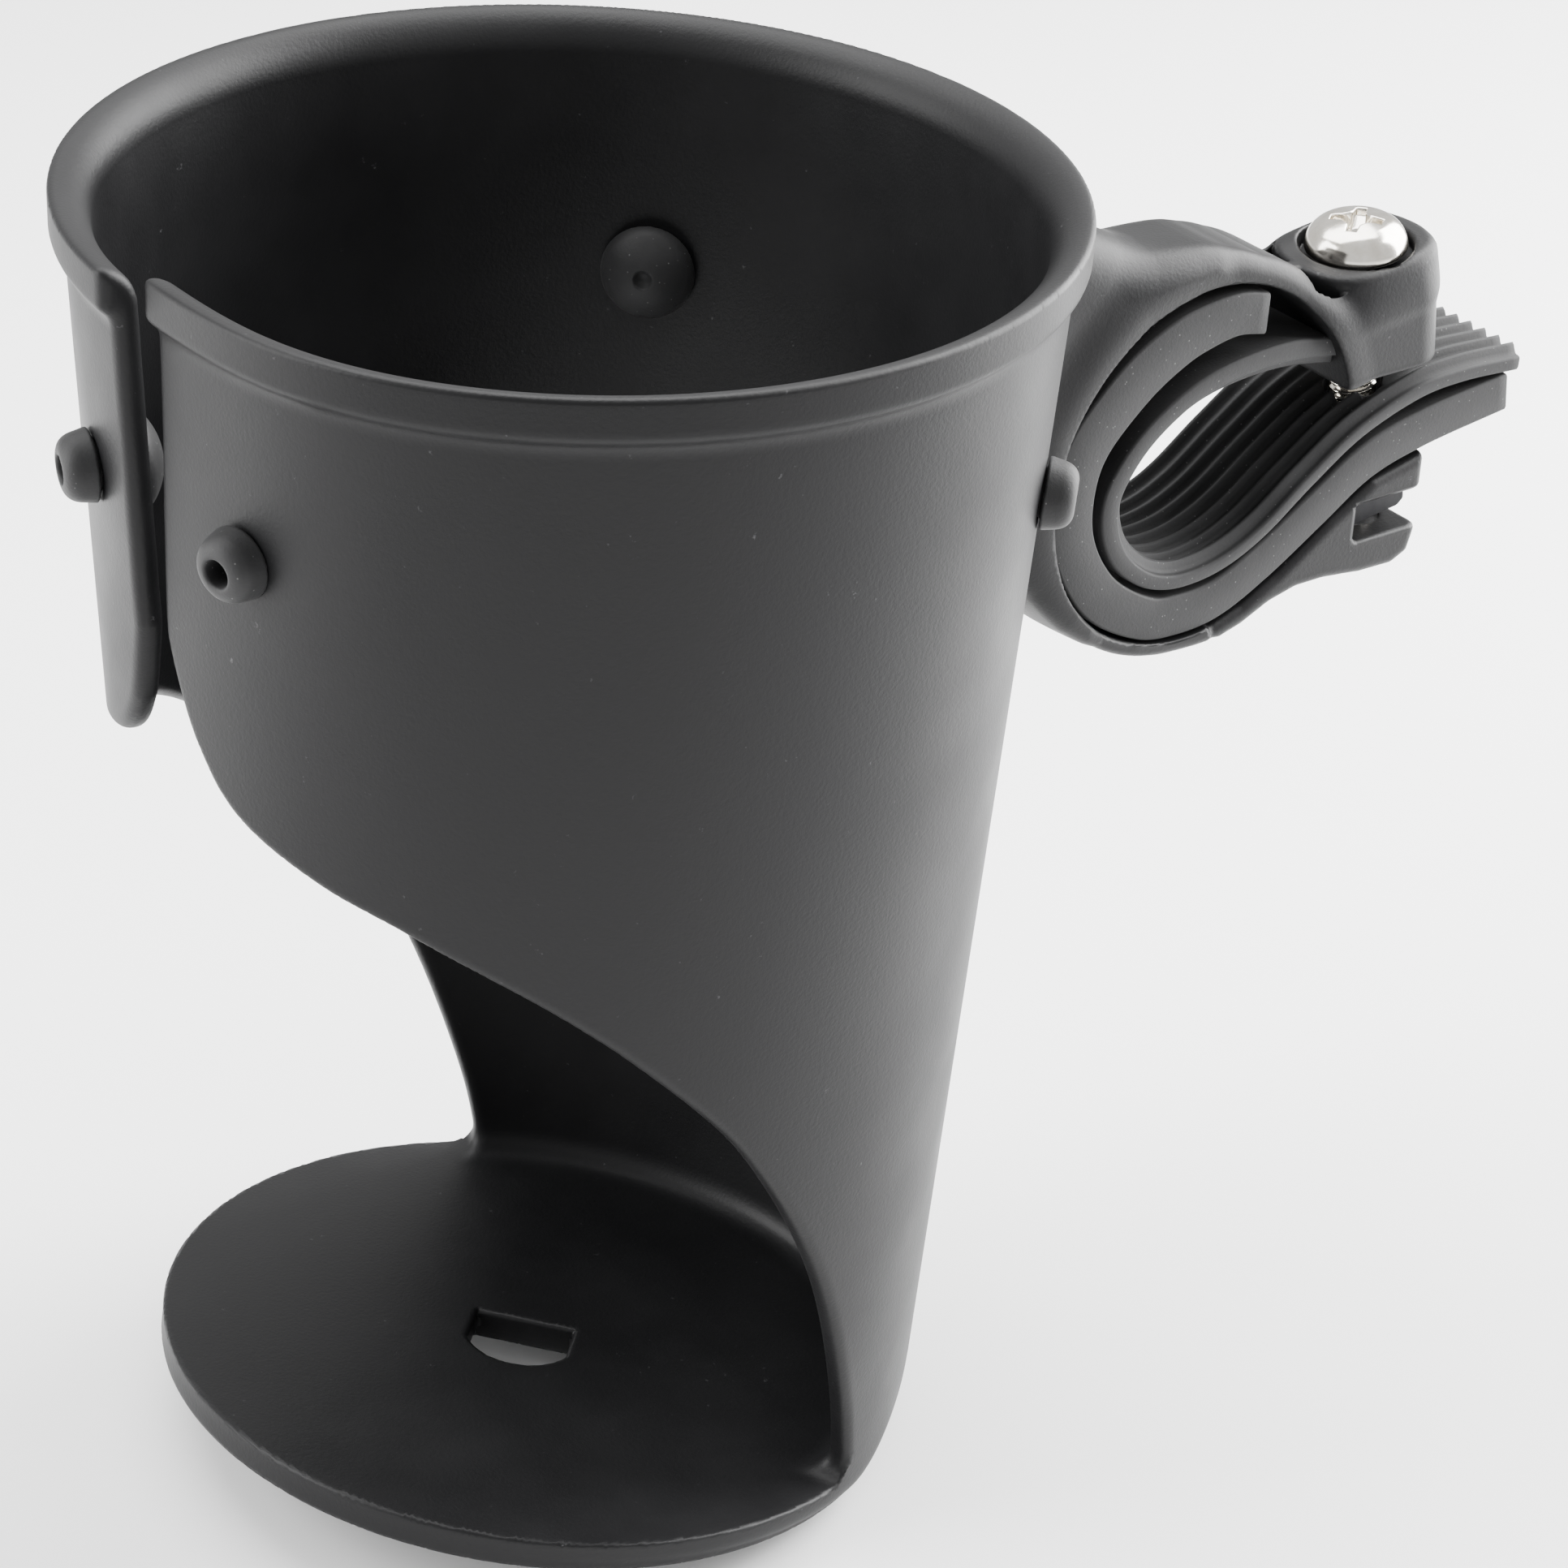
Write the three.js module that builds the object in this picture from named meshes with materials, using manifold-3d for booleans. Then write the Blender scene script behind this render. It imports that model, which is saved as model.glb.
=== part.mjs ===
// Strap-clamp cup holder: a tapered cup with an open front, a clamp band moulded on its back, two rubber
// shims for thinner bars, and one screw with a nut that pulls the lower jaw of the band shut.
// Millimetres, +Z up. The working frame has its origin on the cup's axis at the floor, +X towards the clamp.
// The exported group is shifted so that the part's origin is the centre of the clamp's bore.
import * as THREE from "three";
import { mergeVertices } from "three/addons/utils/BufferGeometryUtils.js";
import Module from "manifold-3d";

const wasm = await Module();
wasm.setup();

const DEG = Math.PI / 180;
const GAP = 0.3; // clearance between neighbouring pieces

// Cup
const FLOOR_OUTER_RADIUS = 36.74; // outside of the wall at the height of the floor's centre
const TAPER = 0.0604; // growth of the radius per millimetre of height
const WALL = 2.5;
const RIM_RADIUS = 45;
const RIM_TOP = 121.8;
const LIP_HEIGHT = 4;
const FLARE_RADIUS = 4;
const FLOOR_THICKNESS = 2.8;
const FLOOR_TILT = 7.5 * DEG; // the floor rises towards the open front
const FLOOR_PIVOT_X = -2;
const CORNER_RADIUS = 8.5; // between the wall and the underside of the floor
const FLOOR_FLAT_RADIUS = 29.3;
const PLATE_RADIUS = 36.2; // of the floor past the foot of the wall, where it is a plain disc
const PLATE_END = 12;
const PLATE_DROP = 0.05; // keeps the seat's flat face in one piece
const SLIT_WIDTH = 5.2;
const DRAIN_WIDTH = 10;
const DRAIN_SIDE = 5;
const DRAIN_BULGE = 3.2;
// Lower edge of the wall round the open front: degrees from the slit, and height.
const OPEN_EDGE = [
  [3.5, 89],
  [6, 85],
  [10, 79],
  [16, 74.5],
  [28, 71],
  [40, 68],
  [57, 61.3],
  [75, 50],
  [86, 40],
  [98, 25],
  [107, 8],
  [110.5, -3],
];

// Bumpers: rubber plugs pushed through the wall, by degrees from +X
const FRONT_BUMPER_HEIGHT = 100;
const REAR_BUMPER_HEIGHT = 97;
const BUMPERS = {
  bumper_front_left: -164.6,
  bumper_front_right: 164.6,
  bumper_rear_left: -44.4,
  bumper_rear_right: 44.4,
};
const BUMPER_HOLE_RADIUS = 2.5;

// Clamp band
const BORE_X = 72;
const BORE_Z = 79.5;
const BORE_RADIUS = 19;
const BAND_HALF_WIDTH = 6;
const BAND_EDGE = 1.2; // thickness at the band's two sides
const UPPER_CROWN = 4.4; // thickness along the band's middle
const LOWER_CROWN = 3;
const SPLIT_ANGLE = 233.5 * DEG; // flex line between the bracket and the lower jaw
const WEB_HALF_WIDTH = 4.6;

// Ears and screw: an axis that leans back towards the cup
const SCREW_X = 96;
const SCREW_Z = 95.4; // height of the upper ear's top face on the screw's axis
const SCREW_LEAN = 7 * DEG;
const EAR_HALF_WIDTH = 7;
const EAR_BOTTOM = 84.3;
const COLLAR_RADIUS = 8.2;
const COUNTERBORE_RADIUS = 5.8;
const COUNTERBORE_DEPTH = 1.2;
const SCREW_HOLE_RADIUS = 3;
const SCREW_RADIUS = 2.4;
const SCREW_LENGTH = 30;
const HEAD_RADIUS = 5.1;
const HEAD_HEIGHT = 3.7;
const NUT_SIDE = 8;
const NUT_THICKNESS = 2.7;
const NUT_BORE_RADIUS = 2.75;
const NUT_DISTANCE = 28; // from the ear's top face down the screw's axis to the nut's centre
const NUT_SLOT = { x: [94.5, 106], z: [65.1, 69.75] };

// Shims
const SHIM_HALF_WIDTH = 5.85;
const INNER_SHIM_FAR_SIDE = 11.5; // the ribbed shim is wider than the band and reaches past it on +Y

const plastic = new THREE.MeshStandardMaterial({ color: 0x1d1d1f, roughness: 0.5, metalness: 0 });
const rubber = new THREE.MeshStandardMaterial({ color: 0x2a2a2b, roughness: 0.8, metalness: 0 });
const nickel = new THREE.MeshStandardMaterial({ color: 0xd8d4cb, roughness: 0.2, metalness: 1 });
const zinc = new THREE.MeshStandardMaterial({ color: 0xa9abad, roughness: 0.35, metalness: 1 });

// A three.js geometry as a manifold solid that faces outwards.
function solid(geometry) {
  const bare = geometry.clone();
  bare.deleteAttribute("normal");
  bare.deleteAttribute("uv");
  const merged = mergeVertices(bare, 1e-4);
  const index = merged.index.array;
  const triangles = [];
  for (let i = 0; i < index.length; i += 3) {
    const [a, b, c] = index.slice(i, i + 3);
    if (a !== b && b !== c && c !== a) triangles.push(a, b, c);
  }
  const build = (corners) =>
    new wasm.Manifold(
      new wasm.Mesh({
        numProp: 3,
        vertProperties: merged.attributes.position.array,
        triVerts: new Uint32Array(corners),
      }),
    );
  const made = build(triangles);
  return made.volume() < 0 ? build(triangles.reverse()) : made;
}

// A manifold solid as a named three.js mesh.
function piece(name, body, material) {
  const { vertProperties, triVerts } = body.getMesh();
  const geometry = new THREE.BufferGeometry();
  geometry.setAttribute("position", new THREE.BufferAttribute(vertProperties, 3));
  geometry.setIndex(new THREE.BufferAttribute(triVerts, 1));
  geometry.computeVertexNormals();
  const mesh = new THREE.Mesh(geometry, material);
  mesh.name = name;
  return mesh;
}

// A solid of revolution about Z from a list of [radius, height].
function revolve(profile, segments) {
  const points = profile.map(([r, z]) => new THREE.Vector2(r, z));
  return solid(new THREE.LatheGeometry(points, segments).rotateX(Math.PI / 2).scale(1, -1, 1));
}

// A solid of revolution moved to another axis.
function revolveAt(profile, segments, matrix) {
  const points = profile.map(([r, z]) => new THREE.Vector2(r, z));
  const geometry = new THREE.LatheGeometry(points, segments).rotateX(Math.PI / 2).scale(1, -1, 1);
  return solid(geometry.applyMatrix4(matrix));
}

// A plate drawn in X and Z and extruded the same distance either side of Y = 0.
function plate(outline, halfWidth) {
  const shape = new THREE.Shape(outline.map(([x, z]) => new THREE.Vector2(x, z)));
  const geometry = new THREE.ExtrudeGeometry(shape, { depth: 2 * halfWidth, bevelEnabled: false });
  return solid(geometry.rotateX(Math.PI / 2).translate(0, halfWidth, 0));
}

function block(x, y, z) {
  const geometry = new THREE.BoxGeometry(x[1] - x[0], y[1] - y[0], z[1] - z[0]);
  return solid(geometry.translate((x[0] + x[1]) / 2, (y[0] + y[1]) / 2, (z[0] + z[1]) / 2));
}

// A closed skin through a row of rings that all have the same number of corners.
function loft(rings) {
  const corners = rings[0].length;
  const positions = rings.flat().flatMap((p) => [p.x, p.y, p.z]);
  const index = [];
  for (let ring = 0; ring + 1 < rings.length; ring++) {
    for (let k = 0; k < corners; k++) {
      const a = ring * corners + k;
      const b = ring * corners + ((k + 1) % corners);
      index.push(a, b, b + corners, a, b + corners, a + corners);
    }
  }
  const last = (rings.length - 1) * corners;
  for (let k = 1; k + 1 < corners; k++) {
    index.push(0, k + 1, k);
    index.push(last, last + k, last + k + 1);
  }
  const geometry = new THREE.BufferGeometry();
  geometry.setAttribute("position", new THREE.Float32BufferAttribute(positions, 3));
  geometry.setIndex(index);
  return solid(geometry);
}

// Points on an arc, as [across, up] from its centre.
function arc(centre, radius, from, to, steps) {
  return Array.from({ length: steps + 1 }, (_, i) => {
    const angle = from + ((to - from) * i) / steps;
    return [centre[0] + radius * Math.cos(angle), centre[1] + radius * Math.sin(angle)];
  });
}

// ---- Cup shell

const wallRadius = (z) => FLOOR_OUTER_RADIUS + TAPER * z;
const floorHeight = (x) => -Math.tan(FLOOR_TILT) * (x - FLOOR_PIVOT_X);

// Places a solid made about the floor's own centre on the tilted floor.
const onFloor = new THREE.Matrix4()
  .makeTranslation(FLOOR_PIVOT_X, 0, 0)
  .multiply(new THREE.Matrix4().makeRotationY(FLOOR_TILT));

function cupOutside() {
  const lipBottom = RIM_TOP - LIP_HEIGHT;
  const body = revolve(
    [
      [0, -20],
      [wallRadius(-20), -20],
      [wallRadius(lipBottom - 1), lipBottom - 1],
      [RIM_RADIUS - 0.35, lipBottom - 0.1],
      [RIM_RADIUS, lipBottom + 0.6],
      [RIM_RADIUS, RIM_TOP - 0.6],
      [RIM_RADIUS - 0.3, RIM_TOP - 0.1],
      [RIM_RADIUS - 0.8, RIM_TOP],
      [0, RIM_TOP],
    ],
    64,
  );
  const bottom = revolveAt(
    [
      [0, -FLOOR_THICKNESS],
      ...arc([FLOOR_FLAT_RADIUS, CORNER_RADIUS - FLOOR_THICKNESS], CORNER_RADIUS, -90 * DEG, 0, 5),
      [70, 40],
      [70, 160],
      [0, 160],
    ],
    64,
    new THREE.Matrix4().makeTranslation(1, 0, 0).multiply(onFloor),
  );
  return body.intersect(bottom);
}

function cupInside() {
  const innerRadius = (z) => wallRadius(z) - WALL;
  const flareStart = RIM_TOP - FLARE_RADIUS;
  const body = revolve(
    [
      [0, -20],
      [innerRadius(-20), -20],
      ...arc([innerRadius(flareStart) + FLARE_RADIUS, flareStart], FLARE_RADIUS, 180 * DEG, 106 * DEG, 4),
      [RIM_RADIUS - 0.6, RIM_TOP + 4],
      [0, RIM_TOP + 4],
    ],
    64,
  );
  const aboveFloor = solid(new THREE.BoxGeometry(140, 140, 160).translate(0, 0, 80).applyMatrix4(onFloor));
  return body.intersect(aboveFloor);
}

// The open front: everything between the floor's top face and the wall's lower edge.
function openFront() {
  const edge = new THREE.SplineCurve(OPEN_EDGE.map(([angle, z]) => new THREE.Vector2(angle, z)));
  const half = edge.getPoints(24);
  const stations = [
    ...half.map((p) => [-p.x, p.y]).reverse(),
    ...half.map((p) => [p.x, p.y]),
  ];
  const rings = stations.map(([angle, top]) => {
    const across = -Math.cos(angle * DEG);
    const along = Math.sin(angle * DEG);
    const corner = (radius, z) => new THREE.Vector3(radius * across, radius * along, z);
    const floor = (radius) => floorHeight(radius * across);
    const high = Math.max(top, floor(30) + 0.1, floor(52) + 0.1);
    return [corner(30, floor(30)), corner(52, floor(52)), corner(52, high), corner(30, high)];
  });
  return loft(rings);
}

// Front part of the floor, past the foot of the wall.
function floorPlate() {
  const disc = [
    [0, -FLOOR_THICKNESS],
    [PLATE_RADIUS - 0.3, -FLOOR_THICKNESS],
    [PLATE_RADIUS, -FLOOR_THICKNESS + 0.3],
    [PLATE_RADIUS, -PLATE_DROP - 0.3],
    [PLATE_RADIUS - 0.3, -PLATE_DROP],
    [0, -PLATE_DROP],
  ];
  const placed = onFloor.clone().multiply(new THREE.Matrix4().makeTranslation(1, 0, 0));
  return revolveAt(disc, 64, placed).intersect(block([-60, PLATE_END], [-60, 60], [-30, 20]));
}

// Slot with one straight side and one bulging side, through the middle of the floor.
function drainSlot() {
  const half = DRAIN_WIDTH / 2;
  const bulgeRadius = (half * half + DRAIN_BULGE * DRAIN_BULGE) / (2 * DRAIN_BULGE);
  const reach = Math.asin(half / bulgeRadius);
  const centre = [0, bulgeRadius - DRAIN_SIDE / 2 - DRAIN_BULGE];
  const outline = [
    [half, DRAIN_SIDE / 2],
    [-half, DRAIN_SIDE / 2],
    ...arc(centre, bulgeRadius, -90 * DEG - reach, -90 * DEG + reach, 8),
  ];
  const shape = new THREE.Shape(outline.map(([x, y]) => new THREE.Vector2(x, y)));
  const geometry = new THREE.ExtrudeGeometry(shape, { depth: 20, bevelEnabled: false });
  return solid(geometry.translate(0, 0, -10).rotateZ(-45 * DEG).applyMatrix4(onFloor));
}

// Frame of one bumper: its own +Z is the wall's outward normal, and its origin is in the wall's middle.
function bumperFrame(angle) {
  const lean = Math.atan(TAPER);
  const height = Math.abs(angle) > 90 ? FRONT_BUMPER_HEIGHT : REAR_BUMPER_HEIGHT;
  return new THREE.Matrix4()
    .makeRotationZ(angle * DEG)
    .multiply(new THREE.Matrix4().makeTranslation(wallRadius(height) - WALL / 2, 0, height))
    .multiply(new THREE.Matrix4().makeRotationY(Math.PI / 2 + lean));
}

function cupShell() {
  const slit = block([-60, -20], [-SLIT_WIDTH / 2, SLIT_WIDTH / 2], [OPEN_EDGE[0][1] - 12, RIM_TOP + 5]);
  let shell = cupOutside().subtract(cupInside()).subtract(openFront());
  shell = shell.add(floorPlate()).subtract(slit).subtract(drainSlot());
  const hole = [
    [0, -6],
    [BUMPER_HOLE_RADIUS, -6],
    [BUMPER_HOLE_RADIUS, 6],
    [0, 6],
  ];
  for (const angle of Object.values(BUMPERS)) {
    shell = shell.subtract(revolveAt(hole, 20, bumperFrame(angle)));
  }
  return shell;
}

// ---- Bumpers

function bumper(angle) {
  const neck = BUMPER_HOLE_RADIUS - GAP;
  const seat = WALL / 2 + 0.55;
  const profile = [
    [0, -seat - 2.6],
    [0.7, -seat - 2.9],
    [2.4, -seat - 2.6],
    [4, -seat - 1.7],
    [4.8, -seat - 0.4],
    [4.7, -seat],
    [neck, -seat],
    [neck, seat],
    [3.1, seat],
    [3.1, seat + 0.6],
    [2.6, seat + 2],
    [2, seat + 2.6],
    [1.3, seat + 2.6],
    [1.2, seat + 0.6],
    [0, seat + 0.6],
  ];
  return revolveAt(profile, 20, bumperFrame(angle));
}

// ---- Clamp band

// One ring of the band's section at an angle round the bore: flat inside, domed outside.
function bandRing(angle, crown) {
  const w = BAND_HALF_WIDTH;
  const section = [
    [-w, 0],
    [w, 0],
    [w, BAND_EDGE],
    [0.86 * w, BAND_EDGE + 0.5 * (crown - BAND_EDGE)],
    [0.55 * w, BAND_EDGE + 0.85 * (crown - BAND_EDGE)],
    [0, crown],
    [-0.55 * w, BAND_EDGE + 0.85 * (crown - BAND_EDGE)],
    [-0.86 * w, BAND_EDGE + 0.5 * (crown - BAND_EDGE)],
    [-w, BAND_EDGE],
  ];
  return section.map(([y, height]) => {
    const radius = BORE_RADIUS + height;
    return new THREE.Vector3(BORE_X + radius * Math.cos(angle), y, BORE_Z + radius * Math.sin(angle));
  });
}

function bandArc(from, to, steps, crownAt) {
  const rings = Array.from({ length: steps + 1 }, (_, i) => {
    const angle = from + ((to - from) * i) / steps;
    return bandRing(angle, crownAt(angle));
  });
  return loft(rings);
}

// Frame of the screw: +Z up its axis, origin on the upper ear's top face.
const onScrew = new THREE.Matrix4()
  .makeTranslation(SCREW_X, 0, SCREW_Z)
  .multiply(new THREE.Matrix4().makeRotationY(-SCREW_LEAN));

function drill(radius, from, to) {
  const profile = [
    [0, from],
    [radius, from],
    [radius, to],
    [0, to],
  ];
  return revolveAt(profile, 32, onScrew);
}

// A block with rounded outer corners, standing along the screw's axis.
function earBlock() {
  const left = -5.4;
  const right = 7.2;
  const w = EAR_HALF_WIDTH;
  const outline = [
    ...arc([right - 4.5, w - 4.5], 4.5, 0, 90 * DEG, 5),
    ...arc([left + 1.5, w - 1.5], 1.5, 90 * DEG, 180 * DEG, 2),
    ...arc([left + 1.5, 1.5 - w], 1.5, 180 * DEG, 270 * DEG, 2),
    ...arc([right - 4.5, 4.5 - w], 4.5, 270 * DEG, 360 * DEG, 5),
  ];
  const shape = new THREE.Shape(outline.map(([x, y]) => new THREE.Vector2(x, y)));
  const geometry = new THREE.ExtrudeGeometry(shape, { depth: 16, bevelEnabled: false });
  return solid(geometry.translate(0, 0, -16).applyMatrix4(onScrew));
}

// Web between the cup's back wall and the band.
function web() {
  return plate(
    [
      [38, 73],
      [48, 70.5],
      [56, 64.5],
      [60, 70],
      [57, 86],
      [66, 96.5],
      [74, 101.4],
      [66, 103],
      [54, 105.5],
      [46, 108.5],
      [38, 112],
    ],
    WEB_HALF_WIDTH,
  );
}

function clampBracket() {
  const arcStart = 33 * DEG;
  const thin = 70 * DEG;
  const crownAt = (angle) =>
    angle > thin ? UPPER_CROWN : 2.4 + ((UPPER_CROWN - 2.4) * (angle - arcStart)) / (thin - arcStart);
  const band = bandArc(arcStart, SPLIT_ANGLE - 0.6 * DEG, 26, crownAt);
  const wall = revolve(
    [
      [0, 40],
      [wallRadius(40) + GAP, 40],
      [wallRadius(RIM_TOP - LIP_HEIGHT - 1) + GAP, RIM_TOP - LIP_HEIGHT - 1],
      [0, RIM_TOP - LIP_HEIGHT - 1],
    ],
    64,
  );
  const collar = drill(COLLAR_RADIUS, -4, 0).intersect(
    block([60, 130], [-EAR_HALF_WIDTH, EAR_HALF_WIDTH], [60, 120]),
  );
  const bore = revolveAt(
    [
      [0, -12],
      [BORE_RADIUS, -12],
      [BORE_RADIUS, 12],
      [0, 12],
    ],
    72,
    new THREE.Matrix4().makeTranslation(BORE_X, 0, BORE_Z).multiply(new THREE.Matrix4().makeRotationX(Math.PI / 2)),
  );
  return band
    .add(web())
    .add(earBlock())
    .add(collar)
    .subtract(bore)
    .subtract(wall)
    .subtract(block([60, 130], [-20, 20], [60, EAR_BOTTOM]).intersect(block([85, 130], [-20, 20], [60, 90])))
    .subtract(drill(COUNTERBORE_RADIUS, -COUNTERBORE_DEPTH, 6))
    .subtract(drill(SCREW_HOLE_RADIUS, -20, 6));
}

// Lower jaw: the free arm of the band and the ear that holds the nut.
function clampJaw() {
  const arm = bandArc(SPLIT_ANGLE + 1.8 * DEG, 284 * DEG, 8, () => LOWER_CROWN);
  const ear = plate(
    [
      [74.5, 59.6],
      [80, 61],
      [88, 62.6],
      [95, 62.1],
      [100, 62.1],
      [102.6, 62.8],
      [103.4, 64.6],
      [103.4, 73.7],
      [96.8, 72.1],
      [91.1, 68.9],
      [84.5, 64.7],
      [80, 62.4],
      [75, 60.7],
    ],
    BAND_HALF_WIDTH,
  );
  return arm
    .add(ear)
    .subtract(block(NUT_SLOT.x, [-20, 20], NUT_SLOT.z))
    .subtract(drill(SCREW_HOLE_RADIUS, -40, 0));
}

// ---- Shims

// A strip that follows a route in X and Z, with its thickness changing evenly from end to end.
function strip(route, thickness, steps, farSide = SHIM_HALF_WIDTH) {
  const line = new THREE.SplineCurve(route.map(([x, z]) => new THREE.Vector2(x, z)));
  const rings = Array.from({ length: steps + 1 }, (_, i) => {
    const t = i / steps;
    const at = line.getPointAt(t);
    const along = line.getTangentAt(t);
    const half = (thickness[0] + (thickness[1] - thickness[0]) * t) / 2;
    const side = (y, offset) => new THREE.Vector3(at.x - along.y * offset, y, at.y + along.x * offset);
    return [
      side(-SHIM_HALF_WIDTH, -half),
      side(farSide, -half),
      side(farSide, half),
      side(-SHIM_HALF_WIDTH, half),
    ];
  });
  return loft(rings).subtract(drill(SCREW_HOLE_RADIUS, -40, -10));
}

const onBore = (radius, degrees) => [
  BORE_X + radius * Math.cos(degrees * DEG),
  BORE_Z + radius * Math.sin(degrees * DEG),
];

const OUTER_SHIM_ROUTE = [
  onBore(15.9, 64),
  onBore(16, 90),
  onBore(16, 115),
  onBore(16, 140),
  onBore(16, 165),
  onBore(16, 190),
  onBore(16, 215),
  onBore(16.2, 240),
  onBore(16.3, 262),
  [76.2, 63.7],
  [82, 66.3],
  [88.9, 70.5],
  [95.4, 74.4],
  [103, 76.4],
  [114.8, 77.9],
];

const INNER_SHIM_ROUTE = [
  [89.7, 87.9],
  [84, 88.6],
  [77.5, 88.2],
  [71.5, 86.8],
  [66.4, 84.1],
  [62.9, 80.7],
  [61.7, 77],
  [63, 72.8],
  [66.6, 69.4],
  [71.5, 67.9],
  [76.5, 68.1],
  [81.5, 70.4],
  [87.4, 74.6],
  [93.8, 78.6],
  [101.5, 81.2],
  [108, 81.8],
  [116.1, 81.4],
];

// ---- Screw and nut

function screw() {
  const under = -COUNTERBORE_DEPTH + GAP;
  const profile = [
    [0, under - SCREW_LENGTH],
    [SCREW_RADIUS - 0.5, under - SCREW_LENGTH],
    [SCREW_RADIUS, under - SCREW_LENGTH + 0.7],
    [SCREW_RADIUS, under],
    [HEAD_RADIUS - 0.3, under],
    [HEAD_RADIUS, under + 0.4],
    [HEAD_RADIUS, under + 1.4],
    [HEAD_RADIUS - 0.5, under + 2.5],
    [HEAD_RADIUS - 1.7, under + 3.35],
    [HEAD_RADIUS - 3.2, under + HEAD_HEIGHT],
    [0, under + HEAD_HEIGHT],
  ];
  const slotAt = (turn) =>
    solid(
      new THREE.BoxGeometry(5, 1.15, 4.4)
        .translate(0, 0, under + HEAD_HEIGHT)
        .rotateZ(turn)
        .applyMatrix4(onScrew),
    );
  const turn = 35 * DEG;
  return revolveAt(profile, 28, onScrew)
    .subtract(slotAt(turn))
    .subtract(slotAt(turn + Math.PI / 2));
}

function squareNut() {
  const cube = new THREE.BoxGeometry(NUT_SIDE, NUT_SIDE, NUT_THICKNESS).translate(0, 0, -NUT_DISTANCE);
  return solid(cube.applyMatrix4(onScrew)).subtract(drill(NUT_BORE_RADIUS, -NUT_DISTANCE - 5, 5 - NUT_DISTANCE));
}

// ---- Assembly

const holder = new THREE.Group();
const assembly = new THREE.Group();
assembly.position.set(-BORE_X, 0, -BORE_Z);
holder.add(assembly);

assembly.add(piece("cup_shell", cupShell(), plastic));
for (const [name, angle] of Object.entries(BUMPERS)) {
  assembly.add(piece(name, bumper(angle), rubber));
}
assembly.add(piece("clamp_bracket", clampBracket(), plastic));
assembly.add(piece("clamp_jaw", clampJaw(), plastic));
assembly.add(piece("outer_shim", strip(OUTER_SHIM_ROUTE, [5.2, 4.2], 44), rubber));
const innerShim = strip(INNER_SHIM_ROUTE, [2.7, 2.7], 48, INNER_SHIM_FAR_SIDE);
assembly.add(piece("inner_shim", innerShim, rubber));
assembly.add(piece("clamp_screw", screw(), nickel));
assembly.add(piece("square_nut", squareNut(), zinc));

export default holder;
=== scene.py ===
"""Looks of the strap-clamp cup holder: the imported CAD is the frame, and every visible piece is built here.

Shapes are written as distance fields in millimetres, in the cup's own frame: origin on the cup's axis at the
floor's middle, +X towards the clamp, +Z up. skin() turns a field into a fine mesh whose points lie on it, so
fillets come from blended fields. place() takes the points to the row frame in metres.
"""

import math

import bmesh
import bpy
import numpy as np
from mathutils import Matrix, Vector


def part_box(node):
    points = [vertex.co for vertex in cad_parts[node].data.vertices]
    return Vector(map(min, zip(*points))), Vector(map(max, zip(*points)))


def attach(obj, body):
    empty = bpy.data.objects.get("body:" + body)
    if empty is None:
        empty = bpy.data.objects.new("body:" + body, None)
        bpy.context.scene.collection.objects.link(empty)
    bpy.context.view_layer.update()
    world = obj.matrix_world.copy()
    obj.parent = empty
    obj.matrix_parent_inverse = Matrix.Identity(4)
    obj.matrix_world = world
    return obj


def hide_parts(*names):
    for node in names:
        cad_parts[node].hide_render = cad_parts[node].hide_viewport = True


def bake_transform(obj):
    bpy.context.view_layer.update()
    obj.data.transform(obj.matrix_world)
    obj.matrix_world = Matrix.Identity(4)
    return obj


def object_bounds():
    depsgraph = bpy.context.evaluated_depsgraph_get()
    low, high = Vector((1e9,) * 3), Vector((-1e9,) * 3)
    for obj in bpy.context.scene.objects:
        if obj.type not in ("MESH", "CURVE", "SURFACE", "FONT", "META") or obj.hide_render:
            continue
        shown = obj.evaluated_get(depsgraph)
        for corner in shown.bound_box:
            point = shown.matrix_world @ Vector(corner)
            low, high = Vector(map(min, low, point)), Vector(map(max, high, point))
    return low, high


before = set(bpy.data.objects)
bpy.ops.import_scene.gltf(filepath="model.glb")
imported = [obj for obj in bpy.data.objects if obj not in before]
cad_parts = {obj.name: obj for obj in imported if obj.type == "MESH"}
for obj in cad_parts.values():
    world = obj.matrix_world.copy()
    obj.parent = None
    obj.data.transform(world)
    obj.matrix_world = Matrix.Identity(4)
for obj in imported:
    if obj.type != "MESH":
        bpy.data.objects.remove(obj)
cad_low, cad_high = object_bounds()

MM = 0.001
DEG = math.pi / 180


def box_mm(node):
    low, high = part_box(node)
    return np.array(low) / MM, np.array(high) / MM


# ---------------------------------------------------------------- sizes, in millimetres and the cup's frame

shell_low, shell_high = box_mm("cup_shell")
RIM_RADIUS = (shell_high[1] - shell_low[1]) / 2
CUP_HEIGHT = 121.8  # from the floor's middle to the rim
CUP_ORIGIN = np.array([-72.0, 0.0, shell_high[2] - CUP_HEIGHT])  # of the cup's frame, in the row frame
BORE_X, BORE_Z = -CUP_ORIGIN[0], -CUP_ORIGIN[2]  # the row's origin is the middle of the clamp's bore

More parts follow.
